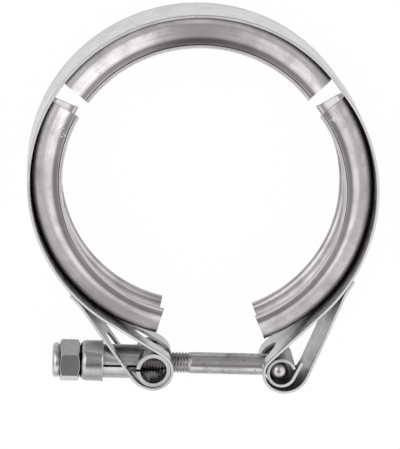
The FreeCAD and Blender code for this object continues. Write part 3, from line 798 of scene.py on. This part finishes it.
@dataclass
class BoltLine:
    """Trunnion, collar cup, nut, sleeve and T-bolt, set along the bolt's line."""

    strap: Strap
    head_offset: float = 0.66
    bolt_radius: float = 3.175
    bolt_length: float = 66.15
    head_radius: float = 2.72
    head_length: float = 15.6
    head_dome: float = 1.5
    thread_depth: float = 0.5
    thread_pitch: float = 0.907
    thread_length: float = 40.5
    around: int = 48
    sleeve_radius: float = 4.4
    sleeve_wall: float = 0.95
    sleeve_half: float = 8.6
    sleeve_mouth: float = 20.0
    sleeve_turnout: float = 25.0
    sleeve_tail: float = 5.5
    sleeve_hole: float = 3.6
    tail_rise: float = 14.6

    def __post_init__(self) -> None:
        """Find the sleeve's centre and the turn of the line from the barrel to it."""
        self.sleeve = self.strap.loop_centre(RIGHT)
        self.turn = heading(self.sleeve - self.strap.loop_centre(LEFT))

    def from_node(self, name: str, node: str, body: str, finish: Steel,
                  ease: float) -> bpy.types.Object:
        """Smooth, edge-eased copy of a CAD solid that stands for its node."""
        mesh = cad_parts[node].data.copy()
        mesh.materials.clear()
        piece = finished(name, mesh, 0.001, 28.0, outward=False)
        if ease:
            work = bmesh.new()
            work.from_mesh(piece.data)
            bmesh.ops.dissolve_limit(work, angle_limit=math.radians(0.4), verts=work.verts,
                                     edges=work.edges, use_dissolve_boundaries=False)
            work.to_mesh(piece.data)
            work.free()
            rounded_edges(piece, ease)
        piece.data.materials.append(finish.material(self.turn))
        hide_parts(node)
        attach(piece, body)
        log.info("%s: %d faces", name, len(piece.data.polygons))
        return piece

    def sleeve_mesh(self) -> bpy.types.Object:
        """Rolled sleeve: an open roll round the cross head, with a slanting free tail.

        The line is the circle of radius r from 20 degrees round to -25, then a straight
        tail; its lower edge rises along the tail, and the bolt's hole is the circle
        y^2 + z^2 = 3.6^2 on the bolt's side.
        """
        middle = self.sleeve_radius - self.sleeve_wall / 2
        leave = -math.radians(self.sleeve_turnout)
        foot = middle * np.array([math.cos(leave), math.sin(leave)])
        along = np.array([-math.sin(leave), math.cos(leave)])
        line = joined([Bend(np.zeros(2), middle, math.radians(self.sleeve_mouth), leave, 1),
                       Run(foot, foot + self.sleeve_tail * along)], 0.15)
        past = (line - foot) @ along
        late = np.arange(len(line)) > len(line) / 2
        tail = np.where((line[:, 0] > 0) & late, past, -1.0)
        round_hole = np.sqrt(np.maximum(self.sleeve_hole**2 - line[:, 1] ** 2, 0.0))
        hole = np.where(line[:, 0] < 0, round_hole, 0.0)
        edge = np.full(len(line), self.sleeve_half)
        low = -edge + np.clip((tail - 0.4) / 3.0, 0, 1) ** 0.8 * self.tail_rise
        sheet = BentSheet(line, right_normals(line), self.sleeve_wall, hole, edge, low)
        piece = sheet.build("rolled_sleeve")
        piece.data.transform(Matrix.Translation(Vector((*(self.sleeve * MM), 0.0)))
                             @ Matrix.Rotation(self.turn, 4, "Z"))
        return piece

    def thread_radius(self, x: Array, a: Array) -> Array:
        """Radius of the rolled thread at a place along the bolt and an angle round it.

        With u the fraction of x / pitch + a / 2 pi, the flank is the triangle |2u - 1|
        clipped to a narrow crest and root; the depth fades over the first and last turn.
        """
        end = x + self.bolt_length
        u = (x / self.thread_pitch + a / (2 * math.pi)) % 1.0
        cut = np.clip(np.abs(2 * u - 1) * 1.25 - 0.1, 0, 1)
        fade = np.clip((self.thread_length - end) / self.thread_pitch, 0, 1)
        chamfer = np.clip((end - 0.05) / 0.75, 0, 1)
        radius = self.bolt_radius - self.thread_depth * (1 - cut) * fade
        return np.minimum(radius, self.bolt_radius - 0.7 * (1 - chamfer))

    def bolt_mesh(self) -> bpy.types.Object:
        """Bolt from tip to shank as one helical surface, with its domed cross head."""
        rough = np.arange(-self.bolt_length, -self.bolt_length + self.thread_length,
                          self.thread_pitch / 10)
        x = np.r_[rough, np.linspace(rough[-1] + 0.3, 0.0, 12)]
        a = np.linspace(0, 2 * math.pi, self.around, endpoint=False)
        xx, aa = np.meshgrid(x, a, indexing="ij")
        r = self.thread_radius(xx, aa)
        grid = np.stack([xx, r * np.cos(aa), r * np.sin(aa)], axis=2).reshape(-1, 3)
        rows, columns = xx.shape
        faces = [list(f) for f in quads(rows, columns)]
        faces += [list(range(columns)), list(range((rows - 1) * columns, rows * columns))]

        top, low = self.head_length / 2, self.head_length / 2 - self.head_dome
        ball = (self.head_radius**2 + self.head_dome**2) / (2 * self.head_dome)
        cap = np.linspace(0.0, math.asin(self.head_radius / ball), 9)
        dome = np.stack([top - ball + ball * np.cos(cap), ball * np.sin(cap)], axis=1)
        dome[0, 1] = 0.001
        side = np.stack([np.linspace(low, -low, 6)[1:-1], np.full(4, self.head_radius)],
                        axis=1)
        profile = np.concatenate([dome, side, dome[::-1] * np.array([-1, 1])])
        head, head_faces = lathed(profile, self.around)
        head = head[:, [2, 1, 0]]
        count = len(grid)
        faces += [[v + count for v in f] for f in head_faces]
        faces += [[v + count for v in range(self.around)],
                  [v + count for v in range(len(head) - self.around, len(head))]]
        return make_piece("threaded_t_bolt", np.concatenate([grid, head]), faces)

    def build(self) -> None:
        """All the pieces along the bolt's line."""
        sheet = Steel("stamped_sheet_steel", "trunnion_steel", 0.42, 0.015, 0.27, Grain.BOLT,
                      mottle=0.30, scratch=0.18, stain=0.25, recess_shade=0.65, recess_shade_low=0.05,
                      recess_shade_high=0.6)
        turned_steel = Steel("turned_nut_steel", "nut_steel", 0.48, 0.015, 0.11, Grain.TURNED,
                             mottle=0.18, scratch=0.08, relief=0.000006, cut=0.0)
        pressed = Steel("pressed_cup_steel", "nut_steel", 0.38, 0.015, 0.26, Grain.TURNED,
                        mottle=0.25, scratch=0.14, relief=0.00001, cut=0.0)
        rolled = Steel("rolled_sleeve_steel", "trunnion_steel", 0.55, 0.012, 0.28, Grain.BOLT,
                       mottle=0.20, scratch=0.12, cut=0.8)
        plated = Steel("bolt_shank_steel", "bolt_steel", 0.45, 0.03, 0.26, Grain.BOLT,
                       mottle=0.40, scratch=0.22, stain=0.75, cut=0.0, recess_shade=0.5,
                       recess_shade_low=0.02, recess_shade_high=0.4)
        self.from_node("half_pipe_trunnion", "trunnion", "trunnion", sheet, 0.08)
        self.from_node("cup_collar", "collar_cup", "trunnion", pressed, 0.06)
        self.from_node("hex_lock_nut", "lock_nut", "nut", turned_steel, 0.28)
        sleeve = self.sleeve_mesh()
        sleeve.data.materials.append(rolled.material(self.turn))
        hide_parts("bolt_sleeve")
        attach(sleeve, "bolt")
        bolt = self.bolt_mesh()
        head = self.sleeve - self.head_offset * np.array([math.cos(self.turn),
                                                          math.sin(self.turn)])
        bolt.data.transform(Matrix.Translation(Vector((*(head * MM), 0.0)))
                            @ Matrix.Rotation(self.turn, 4, "Z"))
        bolt.data.materials.append(plated.material(self.turn))
        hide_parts("t_bolt")
        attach(bolt, "bolt")
        log.info("%s: %d faces", bolt.name, len(bolt.data.polygons))


# ---------------------------------------------------------------- studio

@dataclass(frozen=True)
class Patch:
    """Soft patch of the surround: its direction, its gain and the cosine of its rim."""

    way: tuple[float, float, float]
    gain: float
    rim: float


@dataclass
class Studio:
    """Floor, patched soft light and the camera."""

    rest_height: float = -9.525
    tilt: float = 15.382
    azimuth: float = 101.038
    distance: float = 900.0
    shift_x: float = 0.772
    shift_y: float = -14.106
    focal: float = 3091.5
    frame_width: float = 400.0
    horizon_level: float = 0.92
    zenith_dip: float = 0.35
    patches: tuple[Patch, ...] = (
        Patch((-0.80, 0.05, 0.60), 0.30, 0.55), Patch((0.80, -0.10, 0.60), 0.56, 0.5),
        Patch((-0.38, -0.74, 0.56), 0.65, 0.75), Patch((0.45, -0.72, 0.53), 0.55, 0.75),
        Patch((-0.40, 0.32, 0.86), 0.40, 0.94), Patch((0.45, 0.30, 0.84), 0.40, 0.94),
        Patch((0.0, 0.80, 0.60), -0.38, 0.6), Patch((0.1, -0.97, 0.1), -0.28, 0.6),
        Patch((0.051, -0.260, 0.964), -0.44, 0.93))

    def directions(self) -> tuple[Vector, Vector, Vector]:
        """The camera's right, up and backward directions."""
        th, az = math.radians(self.tilt), math.radians(self.azimuth)
        back = Vector((math.sin(th) * math.cos(az), math.sin(th) * math.sin(az), math.cos(th)))
        right = Vector((0, 1, 0)).cross(back).normalized()
        return right, back.cross(right), back

    def camera(self) -> None:
        """Camera that looks down on the clamp from beyond the crown."""
        right, up, back = self.directions()
        place = (back * self.distance + right * self.shift_x + up * self.shift_y) * MM
        lens = bpy.data.cameras.new("studio_camera")
        lens.sensor_fit = "HORIZONTAL"
        lens.sensor_width = 36.0
        lens.lens = 36.0 * self.focal / self.frame_width
        lens.clip_start, lens.clip_end = 0.05, 20.0
        eye = bpy.data.objects.new("studio_camera", lens)
        bpy.context.scene.collection.objects.link(eye)
        eye.matrix_world = Matrix.Translation(place) @ Matrix(
            (right, up, back)).transposed().to_4x4()
        bpy.context.scene.camera = eye

    def floor(self) -> None:
        """Pale floor at the strap's lower edge, white to the eye and in the metal."""
        z, reach = (self.rest_height - 0.02) * MM, 6.0
        mesh = bpy.data.meshes.new("studio_floor")
        mesh.from_pydata([(-reach, -reach, z), (reach, -reach, z), (reach, reach, z),
                          (-reach, reach, z)], [], [(0, 1, 2, 3)])
        ground = bpy.data.objects.new("studio_floor", mesh)
        bpy.context.scene.collection.objects.link(ground)
        made = bpy.data.materials.new("pale_floor")
        made.use_nodes = True
        shader = Shader(made.node_tree)
        rays = [shader.node("ShaderNodeLightPath", {}, {}, ray) for ray in
                ("Is Camera Ray", "Is Glossy Ray", "Is Transmission Ray")]
        seen = (rays[0] + rays[1] * 0.5 + rays[2]).op("MINIMUM", 1.0)
        paint = shader.node("ShaderNodeBsdfDiffuse", {}, {"Color": (0.8, 0.8, 0.8, 1.0)})
        glow = shader.node("ShaderNodeEmission", {}, {"Color": (1, 1, 1, 1), "Strength": 1.0})
        surface = shader.node("ShaderNodeMixShader", {}, {0: seen * 0.975, 1: paint, 2: glow})
        shader.node("ShaderNodeOutputMaterial", {}, {"Surface": surface})
        ground.data.materials.append(made)

    def sky(self) -> None:
        """Soft surround: bright at the horizon, dim at the zenith, with its patches."""
        world = bpy.data.worlds.new("studio_sky")
        bpy.context.scene.world = world
        world.use_nodes = True
        shader = Shader(world.node_tree)
        way = shader.node("ShaderNodeTexCoord", output="Generated")
        parts = shader.node("ShaderNodeSeparateXYZ", {}, {0: way}).socket.node
        height = Sock(shader, parts.outputs[2])
        level = self.horizon_level - height.step(0.88, 0.999) * self.zenith_dip
        for patch in self.patches:
            toward = shader.node("ShaderNodeVectorMath", {"operation": "DOT_PRODUCT"},
                                 {0: way, 1: patch.way}, "Value")
            level = level + toward.step(patch.rim, 0.985) * patch.gain
        glow = shader.node("ShaderNodeBackground", {}, {"Color": (1, 1, 1, 1),
                                                        "Strength": level})
        shader.node("ShaderNodeOutputWorld", {}, {"Surface": glow})

    def lamp(self, name: str, place: Sequence[float], size: float, power: float) -> None:
        """Square soft lamp that faces the clamp.

        Args:
            name: Name of the lamp.
            place: Where it hangs, in metres.
            size: Its side, in metres.
            power: Its power, in watts.
        """
        light = bpy.data.lights.new(name, "AREA")
        light.shape, light.size, light.energy = "SQUARE", size, power
        hung = bpy.data.objects.new(name, light)
        bpy.context.scene.collection.objects.link(hung)
        hung.location = place
        hung.rotation_euler = (-Vector(place)).to_track_quat("-Z", "Y").to_euler()

    def build(self) -> None:
        """Floor, surround, lamps, camera and view transform."""
        self.floor()
        self.sky()
        self.lamp("left_softbox", (-0.9, 0.5, 1.1), 1.4, 5.0)
        self.camera()
        bpy.context.scene.view_settings.view_transform = "Standard"


def main() -> None:
    """Build every piece of the clamp and the studio."""
    logging.basicConfig(level=logging.INFO, format="%(name)s: %(message)s")
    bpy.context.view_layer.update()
    strap = Strap()
    strap.build()
    Retainers(strap).build()
    BoltLine(strap).build()
    Studio().build()


if __name__ == "__main__":
    main()
